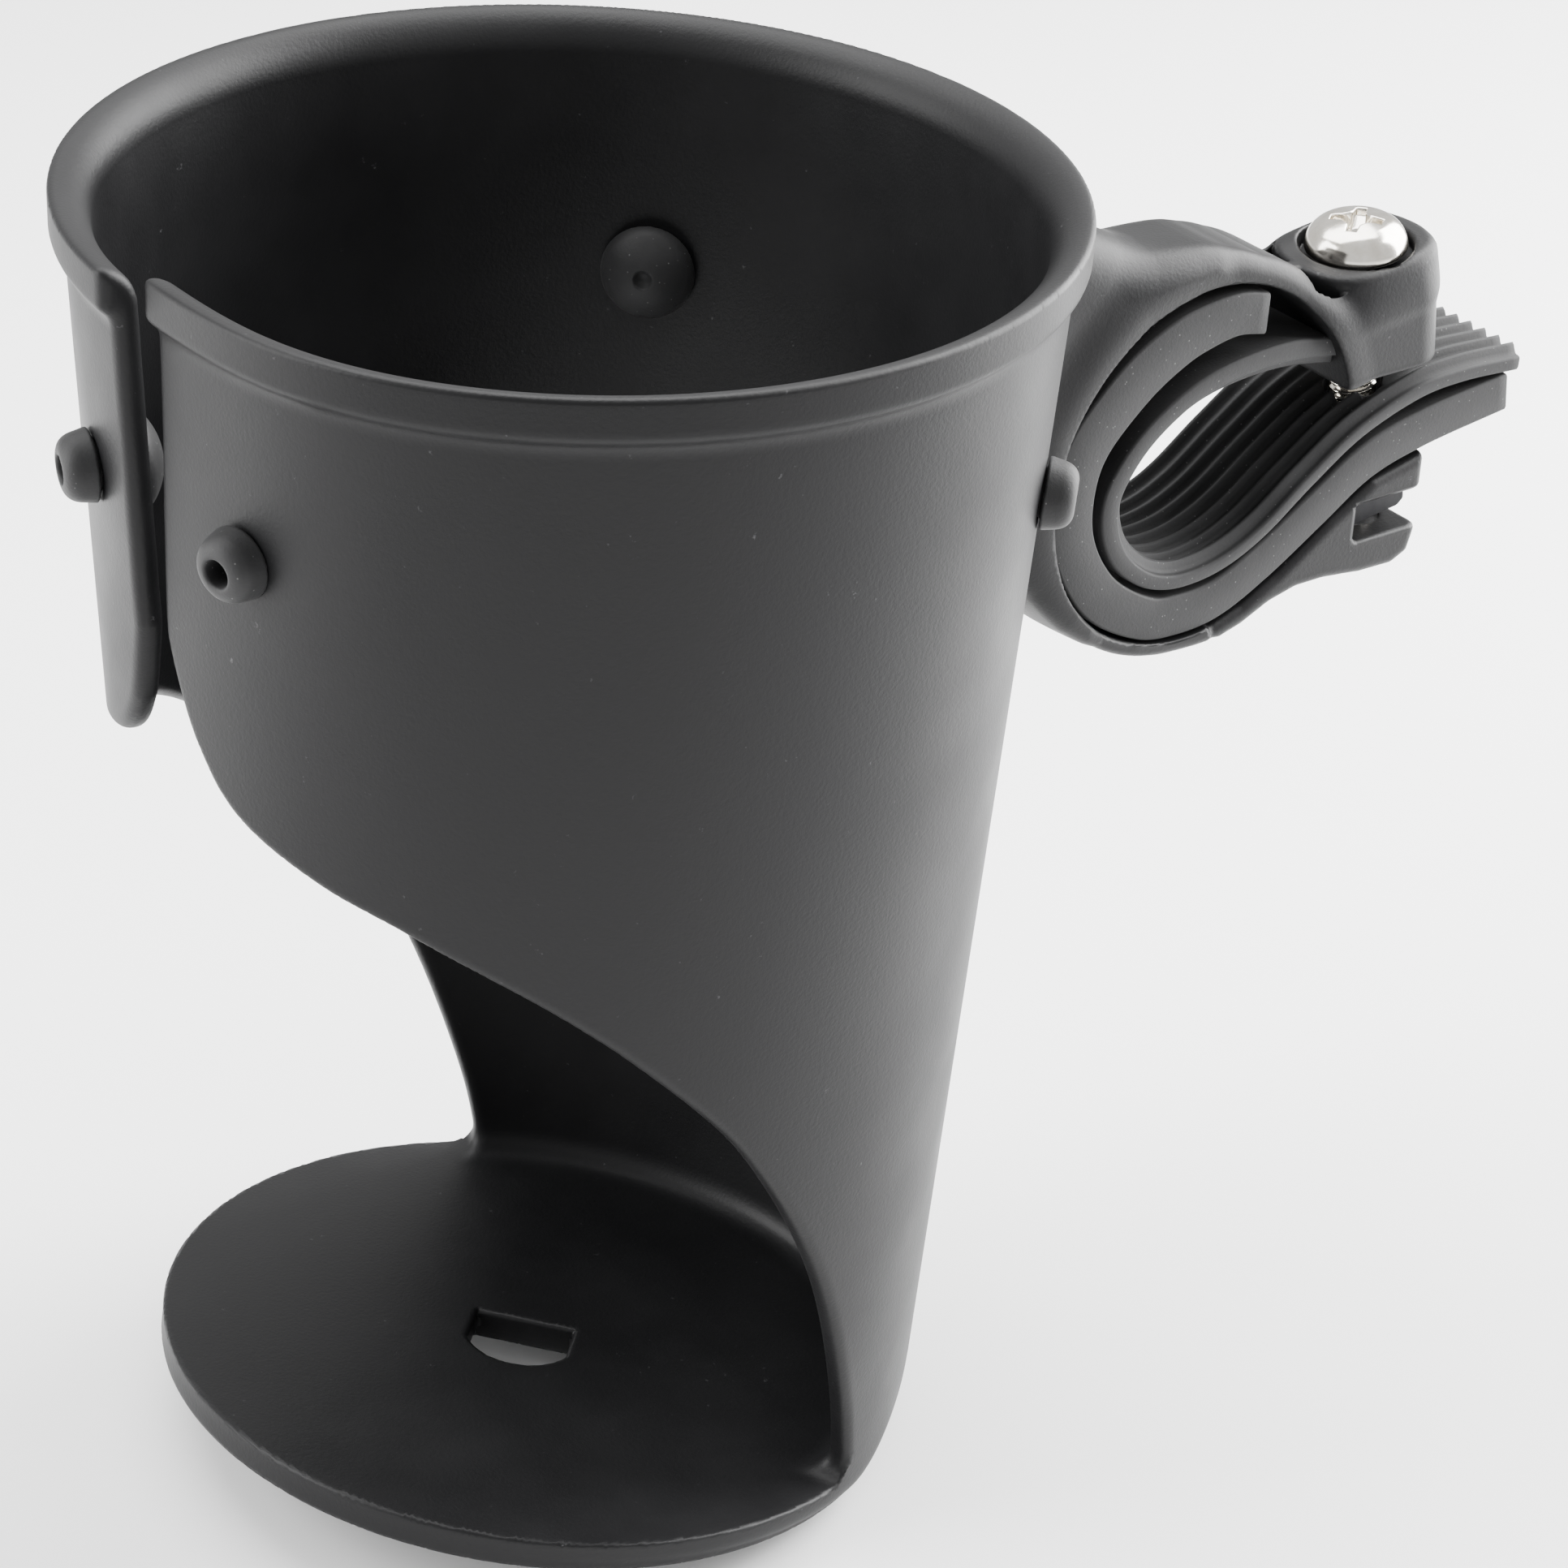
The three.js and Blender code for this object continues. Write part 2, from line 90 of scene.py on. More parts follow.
FLOOR_RADIUS = 36.74
TAPER = 0.0604  # growth of the wall's radius per millimetre of height
WALL = 2.5
LIP_HEIGHT = 4.0
FLARE = 4.0  # radius by which the wall's inside opens out at the rim
FLOOR_THICKNESS = 2.8
FLOOR_TILT = 7.5 * DEG
FLOOR_PIVOT = np.array([-2.0, 0.0, 0.0])
CORNER = 8.5  # radius of the foot's corner round the back
FOOT_CORNER = 3.0
FOOT_RADIUS = 37.8  # of the foot's outline at the floor's underside, before its corner is rounded
SLIT_HALF = 3.2  # before the window's edge is shifted
PLATE_RADIUS = 36.2  # front part of the floor, a plain disc past the wall's foot
PLATE_THICKNESS = 3.1
PLATE_DROP = 0.1  # of its top below the floor's
PLATE_END = 15.5
PLATE_SHIFT = 1.0  # of its middle, and the foot's, along the floor
FLAP_LEAN = 2.6  # how far the flap on the slit's right has sprung in at the rim
FLAP_GIVE = 1.3  # and at its bumper
OPEN_EDGE = [  # lower edge of the wall round the open front: degrees from the slit, height
    (3.9, 90), (6, 85), (10, 79), (16, 74.5), (28, 71), (40, 68), (57, 61.3), (75, 50),
    (86, 40), (98, 25), (107, 8), (110.5, -3),
]

FRONT_BUMPER_Z = 100.0
REAR_BUMPER_Z = 97.0
BUMPERS = {
    "bumper_front_left": -164.6,
    "bumper_front_right": 164.6,
    "bumper_rear_left": -44.4,
    "bumper_rear_right": 44.4,
}

BORE_RADIUS = 19.0
BAND_HALF = 6.0
CROWN = [  # thickness of the band round the bore: degrees, millimetres
    (0, 2.8), (50, 2.7), (72, 2.7), (92, 3.7), (118, 4.4), (170, 3.9), (212, 2.3), (235, 1.6), (360, 1.6),
]
FLEX_ANGLE = 226 * DEG  # where the lower arm starts to bend, round the bore

SCREW_TOP = np.array([95.9, 0.0, 96.2])  # where the screw's axis meets the upper ear's top face
SCREW_LEAN = 7 * DEG
EAR_HALF = 7.0
EAR_BOTTOM = 84.3
COLLAR_RADIUS = 8.3
HEAD_UNDER = -0.5
HEAD_HEIGHT = 3.5
HEAD_RADIUS = 5.25
NUT_DEPTH = 28.8
SHIM_HALF = 5.85


# ---------------------------------------------------------------- fields

def smax(a, b, k):
    """Larger of two fields, rounded over a width k where they meet."""
    h = np.maximum(k - np.abs(a - b), 0) / k
    return np.maximum(a, b) + h * h * k / 4


def smin(a, b, k):
    return -smax(-a, -b, k)


def only(mask, field, p, elsewhere):
    """A field worked out only where mask says it matters."""
    out = np.full(len(p), float(elsewhere))
    if mask.any():
        out[mask] = field(p[mask])
    return out


def box2(u, v, half_u, half_v, radius):
    """Rounded rectangle in two coordinates."""
    du = np.abs(u) - half_u + radius
    dv = np.abs(v) - half_v + radius
    return np.hypot(np.maximum(du, 0), np.maximum(dv, 0)) + np.minimum(np.maximum(du, dv), 0) - radius


def smooth_line(points, count, closed=False):
    """Catmull-Rom curve through 2-D points."""
    p = np.array(points, float)
    if closed:
        p = np.vstack([p[-1], p, p[0], p[1]])
    else:
        p = np.vstack([2 * p[0] - p[1], p, 2 * p[-1] - p[-2]])
    spans = len(p) - 3
    t = np.linspace(0, spans, count, endpoint=not closed)
    i = np.minimum(t.astype(int), spans - 1)
    f = (t - i)[:, None]
    a, b, c, d = p[i], p[i + 1], p[i + 2], p[i + 3]
    return 0.5 * (2 * b + (c - a) * f + (2 * a - 5 * b + 4 * c - d) * f**2 + (3 * b - a - 3 * c + d) * f**3)


class Plan:
    """Signed distance to a closed outline in two coordinates, looked up in a table."""

    def __init__(self, outline, margin=14.0, step=0.25):
        ring = np.array(outline, float)
        self.low = ring.min(0) - margin
        self.step = step
        size = np.ceil((ring.max(0) + margin - self.low) / step).astype(int) + 2
        u = self.low[0] + step * np.arange(size[0])
        v = self.low[1] + step * np.arange(size[1])
        gu, gv = np.meshgrid(u, v, indexing="ij")
        nearest = np.full(gu.shape, 1e9)
        inside = np.zeros(gu.shape, bool)
        for (ax, ay), (bx, by) in zip(ring, np.roll(ring, -1, 0)):
            ex, ey = bx - ax, by - ay
            if ex * ex + ey * ey < 1e-12:
                continue
            t = np.clip(((gu - ax) * ex + (gv - ay) * ey) / (ex * ex + ey * ey), 0, 1)
            nearest = np.minimum(nearest, np.hypot(gu - ax - t * ex, gv - ay - t * ey))
            if ey != 0:
                crosses = ((ay > gv) != (by > gv)) & (gu < ex * (gv - ay) / ey + ax)
                inside ^= crosses
        self.table = np.where(inside, -nearest, nearest)

    def __call__(self, u, v):
        size = np.array(self.table.shape)
        a = np.clip((u - self.low[0]) / self.step, 0, size[0] - 1.001)
        b = np.clip((v - self.low[1]) / self.step, 0, size[1] - 1.001)
        i, j = a.astype(int), b.astype(int)
        fa, fb = a - i, b - j
        t = self.table
        low = t[i, j] * (1 - fa) + t[i + 1, j] * fa
        high = t[i, j + 1] * (1 - fa) + t[i + 1, j + 1] * fa
        return low * (1 - fb) + high * fb


# ---------------------------------------------------------------- fields to meshes

CORNERS = np.array([(i, j, k) for i in (0, 1) for j in (0, 1) for k in (0, 1)])
EDGES = [(a, b) for a in range(8) for b in range(a + 1, 8) if np.abs(CORNERS[a] - CORNERS[b]).sum() == 1]


def sample(field, low, count, cell, block=12):
    """Field values on a grid, worked out in full only in the blocks that the surface may cross."""
    blocks = -(-count // block)
    values = np.empty(blocks * block, np.float32)
    index = np.stack(np.meshgrid(*[np.arange(n) for n in blocks], indexing="ij"), -1).reshape(-1, 3)
    middle = field(low + (index * block + (block - 1) / 2) * cell)
    reach = block * cell * math.sqrt(3) / 2 * 1.25
    inner = np.stack(np.meshgrid(*[np.arange(block)] * 3, indexing="ij"), -1).reshape(-1, 3)
    for (i, j, k), m in zip(index[np.abs(middle) > reach] * block, middle[np.abs(middle) > reach]):
        values[i:i + block, j:j + block, k:k + block] = m
    near = index[np.abs(middle) <= reach] * block
    for start in range(0, len(near), 48):
        group = near[start:start + 48]
        points = (group[:, None, :] + inner[None]).reshape(-1, 3) * cell + low
        found = field(points).reshape(len(group), block, block, block)
        for (i, j, k), f in zip(group, found):
            values[i:i + block, j:j + block, k:k + block] = f
    return values[: count[0], : count[1], : count[2]]


PROBES = np.array([(1, -1, -1), (-1, -1, 1), (-1, 1, -1), (1, 1, 1)], float)


def slopes(field, points, step):
    """Field and its slope at each point, from four probes round it."""
    value = np.zeros(len(points))
    slope = np.zeros_like(points)
    for probe in PROBES:
        found = field(points + step * probe)
        value += found / 4
        slope += found[:, None] * probe / (4 * step)
    return value, slope


def skin(field, low, high, cell, relax=2):
    """Mesh of a field's zero surface: points in the field's own frame, quads, and outward normals."""
    low = np.array(low, float)
    count = np.ceil((np.array(high, float) - low) / cell).astype(int) + 1
    values = sample(field, low, count, cell)
    inside = values < 0
    cells = count - 1
    total = np.zeros(cells, np.uint8)
    for i, j, k in CORNERS:
        total += inside[i:i + cells[0], j:j + cells[1], k:k + cells[2]]
    where = np.argwhere((total > 0) & (total < 8))
    number = np.full(cells, -1, np.int32)
    number[tuple(where.T)] = np.arange(len(where))
    at = [values[tuple((where + c).T)].astype(float) for c in CORNERS]
    sums = np.zeros((len(where), 3))
    hits = np.zeros(len(where))
    for a, b in EDGES:
        crossed = (at[a] < 0) != (at[b] < 0)
        share = np.where(crossed, at[a] / np.where(crossed, at[a] - at[b], 1), 0)
        point = CORNERS[a] + share[:, None] * (CORNERS[b] - CORNERS[a])
        sums += np.where(crossed[:, None], point, 0)
        hits += crossed
    points = low + (where + sums / hits[:, None]) * cell
    quads = []
    for axis in range(3):
        u, v = (axis + 1) % 3, (axis + 2) % 3
        first = [slice(1, cells[i]) for i in range(3)]
        second = list(first)
        first[axis] = slice(0, cells[axis])
        second[axis] = slice(1, cells[axis] + 1)
        a, b = inside[tuple(first)], inside[tuple(second)]
        spots = np.argwhere(a != b)
        spots[:, u] += 1
        spots[:, v] += 1
        leaving = a[a != b]
        ring = []
        for du, dv in ((1, 1), (0, 1), (0, 0), (1, 0)):
            spot = spots.copy()
            spot[:, u] -= du
            spot[:, v] -= dv
            ring.append(number[tuple(spot.T)])
        ring = np.stack(ring, 1)
        ring[~leaving] = ring[~leaving][:, ::-1]
        quads.append(ring)
    quads = np.concatenate(quads)
    quads = quads[(quads >= 0).all(1)]
    pairs = np.concatenate([quads[:, [i, (i + 1) % 4]] for i in range(4)])
    pairs = np.unique(np.sort(pairs, 1), axis=0)
    degree = np.bincount(pairs.ravel(), minlength=len(points))[:, None]

    def onto(p, rounds):
        for _ in range(rounds):
            f, g = slopes(field, p, 0.04 * cell)
            step = f[:, None] * g / np.maximum((g * g).sum(1), 0.05)[:, None]
            long = np.linalg.norm(step, axis=1, keepdims=True)
            p = p - step * np.minimum(1, 0.6 * cell / np.maximum(long, 1e-9))
        return p

    points = onto(points, 2)
    for _ in range(relax):
        around = np.zeros_like(points)
        for axis in range(3):
            around[:, axis] = np.bincount(pairs[:, 0], points[pairs[:, 1], axis], len(points))
            around[:, axis] += np.bincount(pairs[:, 1], points[pairs[:, 0], axis], len(points))
        g = slopes(field, points, 0.08 * cell)[1]
        g /= np.maximum(np.linalg.norm(g, axis=1, keepdims=True), 1e-9)
        move = 0.5 * (around / degree - points)
        points = points + move - g * (move * g).sum(1, keepdims=True)
        points = onto(points, 1)
    points = onto(points, 2)
    normals = slopes(field, points, 0.2 * cell)[1]
    normals /= np.maximum(np.linalg.norm(normals, axis=1, keepdims=True), 1e-9)
    return points, quads, normals


def place(points):
    return (np.asarray(points) + CUP_ORIGIN) * MM


def make_object(name, points, faces, normals=None):
    """Mesh object in the row frame from points in the cup's frame."""
    mesh = bpy.data.meshes.new(name)
    mesh.from_pydata(place(points).tolist(), [], [list(map(int, f)) for f in faces])
    mesh.polygons.foreach_set("use_smooth", [True] * len(mesh.polygons))
    if normals is not None:
        mesh.normals_split_custom_set_from_vertices(normals.tolist())
    mesh.update()
    o = bpy.data.objects.new(name, mesh)
    bpy.context.scene.collection.objects.link(o)
    return o


def settle(o, body, slot, material, *nodes):
    """Says what a piece rides on, its finish, and the CAD nodes it stands for."""
    if body:
        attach(o, body)
    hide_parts(*nodes)
    o.data.materials.clear()
    o.data.materials.append(material)
    return o


# ---------------------------------------------------------------- the cup

def wall_radius(z):
    return FLOOR_RADIUS + TAPER * z


def floor_frame(p):
    """Distance from the floor's axis and height above its top face."""
    q = p - FLOOR_PIVOT
    c, s = math.cos(FLOOR_TILT), math.sin(FLOOR_TILT)
    u = c * q[:, 0] - s * q[:, 2]
    w = s * q[:, 0] + c * q[:, 2]
    return u, q[:, 1], w


def outline_of_window():
    edge = smooth_line(OPEN_EDGE, 90)
    along = edge[:, 0] * DEG * (wall_radius(edge[:, 1]) - WALL / 2)
    side = np.stack([along, edge[:, 1]], 1)
    side = side[side[:, 0] > SLIT_HALF]
    return [(-25, -30), (side[-1, 0], -30), *side[::-1], (SLIT_HALF, 94), (SLIT_HALF, 150), (-25, 150)]


WINDOW = Plan(outline_of_window())


def drain_outline():
    half, side, bulge = 5.0, 2.5, 3.2
    radius = (half**2 + bulge**2) / (2 * bulge)
    reach = math.asin(half / radius)
    angles = np.linspace(-math.pi / 2 - reach, -math.pi / 2 + reach, 24)
    curve = np.stack([radius * np.cos(angles), radius - side - bulge + radius * np.sin(angles)], 1)
    ring = np.array([(half, side), (-half, side), *curve])
    turn = -45 * DEG
    c, s = math.cos(turn), math.sin(turn)
    return ring @ np.array([(c, s), (-s, c)])


DRAIN = Plan(drain_outline(), margin=6, step=0.1)


def cup_outside(p):
    """Cone, lip and the foot's rounded corner, which is sharper beside the open front."""
    r, z = np.hypot(p[:, 0], p[:, 1]), p[:, 2]
    cone = smax((r - wall_radius(z)) * 0.998, z - CUP_HEIGHT + 1.2, 0.5)
    lip = box2(r, z - CUP_HEIGHT + LIP_HEIGHT / 2, RIM_RADIUS, LIP_HEIGHT / 2, 0.7)
    body = smin(cone, lip, 2.0)
    u, v, w = floor_frame(p)
    corner = FOOT_CORNER + (CORNER - FOOT_CORNER) * ramp(p[:, 0], 14, 27)
    down = corner - FLOOR_THICKNESS - w
    out = np.hypot(u - PLATE_SHIFT, v) - FOOT_RADIUS + corner - 0.25 * np.maximum(-down, 0)
    beyond_both = np.hypot(np.maximum(out, 0), np.maximum(down, 0))
    foot = beyond_both + np.minimum(np.maximum(out, down), 0) - corner
    return smax(body, foot, 0.8)


def cup_cavity(p):
    r, z = np.hypot(p[:, 0], p[:, 1]), p[:, 2]
    start = CUP_HEIGHT - FLARE
    centre = wall_radius(start) - WALL + FLARE
    straight = (r - wall_radius(z) + WALL) * 0.998
    flare = FLARE - np.hypot(np.minimum(r - centre, 0), z - start)
    return np.where(z > start, flare, straight)


def bumper_axis(angle):
    """Middle of the wall at a bumper, and the wall's outward normal."""
    lean = math.atan(TAPER)
    height = FRONT_BUMPER_Z if abs(angle) > 90 else REAR_BUMPER_Z
    c, s = math.cos(angle * DEG), math.sin(angle * DEG)
    out = np.array([c * math.cos(lean), s * math.cos(lean), -math.sin(lean)])
    reach = wall_radius(height) - WALL / 2
    return np.array([reach * c, reach * s, height]), out


def ramp(x, start, end):
    t = np.clip((x - start) / (end - start), 0, 1)
    return t * t * (3 - 2 * t)


def sprung(p):
    """The flap on the slit's right has sprung inwards: where each point was before it did."""
    moved = p.copy()
    near = (p[:, 0] < -5) & (p[:, 1] < 1.8) & (p[:, 2] > 55)
    q = p[near]
    angle = np.arctan2(-q[:, 1], -q[:, 0]) / DEG
    lean = FLAP_LEAN * np.exp(-((angle / 24) ** 2)) * ramp(q[:, 2], 55, 120) 
    moved[near, :2] *= (1 + lean / np.hypot(q[:, 0], q[:, 1]))[:, None]
    return moved


RIGHT_SHIFT = [  # of the window's edge on the slit's right, towards the slit's middle: height, shift
    (58, 0.0), (64, 0.5), (70, 1.1), (76, 2.3), (82, 3.3), (90, 4.2), (100, 4.3), (110, 4.0), (120, 3.7),
]
LEFT_SHIFT = [
    (50, -2.0), (56, -1.4), (62, -0.4), (68, 0.7), (74, 1.7), (80, 1.7), (86, 1.0), (92, 0.7), (120, 0.7),
]
INNERMOST = -20  # the window's outline reaches a little further than this across the slit


def window_field(p):
    """The open front and the slit: each side's edge lies nearer the slit's middle by its own shift."""
    z = p[:, 2]
    along = np.arctan2(p[:, 1], -p[:, 0]) * (wall_radius(z) - WALL / 2)
    right = WINDOW(np.maximum(-along + np.interp(z, *np.transpose(RIGHT_SHIFT)), INNERMOST), z)
    left = WINDOW(np.maximum(along + np.interp(z, *np.transpose(LEFT_SHIFT)), INNERMOST), z)
    return np.maximum(right, left)


def floor_plate(p):
    u, v, w = floor_frame(p)
    half = PLATE_THICKNESS / 2
    plate = box2(np.hypot(u - PLATE_SHIFT, v), w + half + PLATE_DROP, PLATE_RADIUS, half, 0.5)
    return smax(smax(plate, p[:, 0] - PLATE_END, 1.5), -DRAIN(u, v), 0.5)


def cup_field(p):
    p = sprung(p)
    outside = cup_outside(p)
    cavity = cup_cavity(p)
    wall = smax(outside, -cavity, 0.5)
    wall = smax(wall, -window_field(p), 1.3)
    u, v, w = floor_frame(p)
    floor = smax(outside, w, 0.4)
    floor = smax(floor, -DRAIN(u, v), 0.5)
    joined = np.maximum(smin(wall, floor, 3.2), outside)
    joined = smin(joined, only(p[:, 2] < 14, floor_plate, p, 9), 0.2)
    return smax(joined, -only(np.abs(p[:, 2] - FRONT_BUMPER_Z) < 12, bumper_holes, p, 9), 0.3)


def bumper_holes(p):
    here = np.stack([p[:, 0], -np.abs(p[:, 1]), p[:, 2]], 1)
    nearest = np.full(len(p), 9.0)
    for angle in (BUMPERS["bumper_front_left"], BUMPERS["bumper_rear_left"]):
        middle, out = bumper_axis(angle)
        q = here - middle
        depth = q @ out
        ring = np.sqrt(np.maximum((q * q).sum(1) - depth * depth, 0)) - 2.45
        nearest = np.minimum(nearest, np.maximum(ring, np.abs(depth) - 8))
    return nearest


# ---------------------------------------------------------------- the clamp, moulded on the cup

def screw_frame(p):
    """Outwards, across and up the screw's axis from the upper ear's top face."""
    q = p - SCREW_TOP
    c, s = math.cos(SCREW_LEAN), math.sin(SCREW_LEAN)
    return c * q[:, 0] + s * q[:, 2], q[:, 1], -s * q[:, 0] + c * q[:, 2]


def beyond(p, angle):
    """Distance past a ray from the bore's middle, anticlockwise."""
    return -(p[:, 0] - BORE_X) * math.sin(angle) + (p[:, 2] - BORE_Z) * math.cos(angle)


def band(p):
    """Ring round the bore with a crowned outside, as thick as CROWN says, and its angle in degrees."""
    across, up = p[:, 0] - BORE_X, p[:, 2] - BORE_Z
    height = np.hypot(across, up) - BORE_RADIUS
    angle = np.arctan2(up, across) / DEG % 360
    crown = np.interp(angle, *np.transpose(CROWN))
    corner = np.minimum(3.1, crown - 0.7)
    return smax(box2(p[:, 1], height, BAND_HALF, crown, corner), -height, 0.35), angle


WEB = Plan([  # outline in X and Z, from the cup's wall to the band
    (38, 76), (46, 73.5), (52, 69.8), (56.5, 65.6), (59.5, 64.2), (61, 66), (58, 72), (57, 86), (64, 96.5),
    (72, 100.6), (65, 103.0), (57, 107.0), (50, 112.2), (44, 116.3), (38, 118.4),
])


def upper_clamp(p):
    ring, angle = band(p)
    ends = np.minimum(beyond(p, 236 * DEG), -beyond(p, 8 * DEG))
    return smax(np.maximum(ring, ends), EAR_BOTTOM - p[:, 2] - 200 * (angle > 90), 0.5)


def upper_ear(p):
    out, y, up = screw_frame(p)
    radius = np.where(out > 0, 4.5, 0.6)
    plan = box2(out + 2.6, y, 9.9, EAR_HALF, radius)
    top = up - 0.15 * y + 0.09 * np.maximum(-4 - out, 0)
    block = smax(smax(plan, top, 4.8), EAR_BOTTOM - p[:, 2], 0.7)
    boss = smax(np.hypot(out, y) - COLLAR_RADIUS, np.abs(y) - EAR_HALF + 0.4, 2.5)
    boss = smax(smax(boss, up, 1.2), -5 - up, 1.0)
    return smin(block, boss, 1.5)


def bracket_field(p):
    y = p[:, 1]
    x = p[:, 0]
    half = 5.9 + 1.6 * np.clip((56 - x) / 16, 0, 1) ** 2
    web = smax(WEB(x, p[:, 2]), np.abs(y) - half, 6.5)
    web = np.maximum(web, 36 - x)
    solid = smin(upper_clamp(p), web, 3.5)
    ear = upper_ear(p)
    solid = smin(solid, ear, 2.4)
    out, across, up = screw_frame(p)
    ring = np.hypot(out, across)
    bore = np.hypot(x - BORE_X, p[:, 2] - BORE_Z) - BORE_RADIUS
    pocket = np.maximum(np.maximum(COLLAR_RADIUS - ring, ring - 11.6), np.abs(y) - 5.3)
    pocket = np.maximum(np.maximum(pocket, 1.0 - np.abs(y)), np.maximum(1.4 - bore, out + 2.2))
    solid = smax(solid, -pocket, 0.6)
    solid = smax(solid, -np.maximum(ring - 5.8, -1.2 - up), 0.4)
    solid = smax(solid, -(ring - 3), 0.3)
    return smax(solid, -bore, 0.35)


LOWER_EAR = Plan([  # outline in X and Z
    (66, 61.6), (70, 60.3), (74, 59.3), (77.5, 58.8), (80.4, 59.6), (84, 61.2), (87.5, 62.0),
    (91.5, 62.0), (96.5, 61.4), (101, 61.3), (103.2, 62.3), (103.9, 64.7), (103.9, 73.5), (96.8, 71.9),
    (91.1, 68.6), (84.5, 64.2), (80, 61.9), (76, 60.6), (70, 61.0),
])


def jaw_field(p):
    x, y, z = p[:, 0], p[:, 1], p[:, 2]
    arm, angle = band(p)
    arm = np.maximum(arm, np.maximum(-beyond(p, 222 * DEG), beyond(p, 280 * DEG)))
    ear = smax(LOWER_EAR(x, z), np.abs(y) - BAND_HALF, 1.3)
    solid = smin(arm, ear, 1.0)
    slot = np.maximum(box2(x - 103, z - 67.55, 8.3, 2.1, 0.6), y - 4.6)  # blind: closed on the far side
    solid = smax(solid, -slot, 0.4)
    out, across, up = screw_frame(p)
    solid = smax(solid, -np.maximum(np.hypot(out, across) - 3, up), 0.4)
    shim_room = np.hypot(x - BORE_X, z - BORE_Z) - BORE_RADIUS
    return np.maximum(solid, -shim_room)


def moulding_field(p):
    """Cup, web, band and both ears: one moulding."""
    x = p[:, 0]
    far = np.hypot(x, p[:, 1]) - RIM_RADIUS
    cup = np.where(x > 54, far, only(x <= 54, cup_field, p, 0))
    clamp = np.where(x < 30, 36 - x, only(x >= 30, clamp_field, p, 0))
    joined = smin(cup, clamp, 5.0)
    return np.maximum(joined, -cup_cavity_closed(p))


def clamp_field(p):
    return np.minimum(bracket_field(p), jaw_field(p))


def cup_cavity_closed(p):
    """The cup's hollow, only on the clamp's side, where the web must not bulge into it."""
    return np.maximum(np.maximum(cup_cavity(p), 20 - p[:, 0]), np.abs(p[:, 2] - 83) - 43)


def build_moulding(material):
    low = [-46, -46.5, -8.8]
    high = [105.5, 46.5, 123]
    points, quads, normals = skin(moulding_field, low, high, 0.46)
    middle = points[quads].mean(1)
    angle = np.arctan2(middle[:, 2] - BORE_Z, middle[:, 0] - BORE_X) % (2 * math.pi)
    jaw = (middle[:, 0] > 50) & (middle[:, 2] < 76) & (angle > FLEX_ANGLE)
    made = []
    for name, chosen in (("cup_moulding", ~jaw), ("lower_arm", jaw)):
        used, faces = np.unique(quads[chosen], return_inverse=True)
        made.append(make_object(name, points[used], faces.reshape(-1, 4), normals[used]))
    cup, arm = made
    settle(cup, "cup", "black_plastic", material, "cup_shell", "clamp_bracket")
    settle(arm, None, "black_plastic", material, "clamp_jaw")
    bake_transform(arm)
    return cup, arm


# ---------------------------------------------------------------- bumpers

def bumper_field(p):
    """One bumper along +Z: a flat dome inside the cup, a neck through the wall, a hollow stub outside."""
    r, z = np.hypot(p[:, 0], p[:, 1]), p[:, 2]
    seat = WALL / 2 + 0.55
    dome_radius = 6.2
    dome = np.hypot(r, z + seat + 2.9 - dome_radius) - dome_radius
    head = smax(smax(dome, r - 4.7, 0.7), z + seat, 0.4)
    neck = np.maximum(r - 2.2, np.abs(z) - seat - 1)
    seat -= 0.4
    tip = seat + 2.9
    stub = smax(smax((r - 3.35 + 0.2 * (z - seat)) * 0.97, z - tip, 1.5), seat - z, 0.3)
    solid = smin(smin(head, neck, 0.3), stub, 0.3)
    solid = smax(solid, -np.maximum(r - 1.25, seat + 0.8 - z), 0.35)
    dimple = np.hypot(r, z + seat + 3.5) - 0.95
    return smax(solid, -dimple, 0.2)


def build_bumpers(material):
    points, quads, normals = skin(bumper_field, [-5.2, -5.2, -5.4], [5.2, 5.2, 5.8], 0.2)
    for name, angle in BUMPERS.items():
        middle, out = bumper_axis(angle)
        if name == "bumper_front_left":
            middle = middle - FLAP_GIVE * out
        across = np.cross([0.0, 0.0, 1.0], out)
        across /= np.linalg.norm(across)
        axes = np.stack([across, np.cross(out, across), out])
        o = make_object(name + "_plug", points @ axes + middle, quads, normals @ axes)
        settle(o, "cup", "bumper_rubber", material, name)


# ---------------------------------------------------------------- screw and nut

def screw_field(p):
    """The screw along +Z, with z = 0 at the upper ear's top face."""
    x, y, z = p[:, 0], p[:, 1], p[:, 2]
    r = np.hypot(x, y)
    top = HEAD_UNDER + HEAD_HEIGHT
    dome = (z - top + r * r / 26) * 0.94
    head = smax(smax(dome, r - HEAD_RADIUS, 2.2), HEAD_UNDER - z, 0.5)
    turn = 35 * DEG
    u = np.abs(x * math.cos(turn) + y * math.sin(turn))
    v = np.abs(-x * math.sin(turn) + y * math.cos(turn))
    long, short = np.maximum(u, v), np.minimum(u, v)
    wing = np.maximum(short - 0.72 + 0.08 * long, long - 2.75 - 0.28 * (z - top))
    wing = np.maximum(wing, top - 2.3 + 0.5 * long - z)
    core = (r - 1.45 - 0.35 * (z - top)) * 0.94
    core = np.maximum(core, top - 2.6 - z)
    head = smax(head, -smin(wing, core, 0.3), 0.2)
    end = HEAD_UNDER - 30
    phase = (z / 0.8 - np.arctan2(y, x) / (2 * math.pi)) % 1.0
    ridge = 1 - np.abs(2 * phase - 1)
    thread = (r - 2.05 - 0.38 * np.clip(ridge * 1.25, 0, 1)) * 0.7
    thread = np.where(z > HEAD_UNDER - 8, r - 2.4, thread)
    shank = smax(np.maximum(thread, z - HEAD_UNDER), (end - z + np.maximum(r - 1.7, 0)) * 0.8, 0.3)
    return smin(head, shank, 0.4)


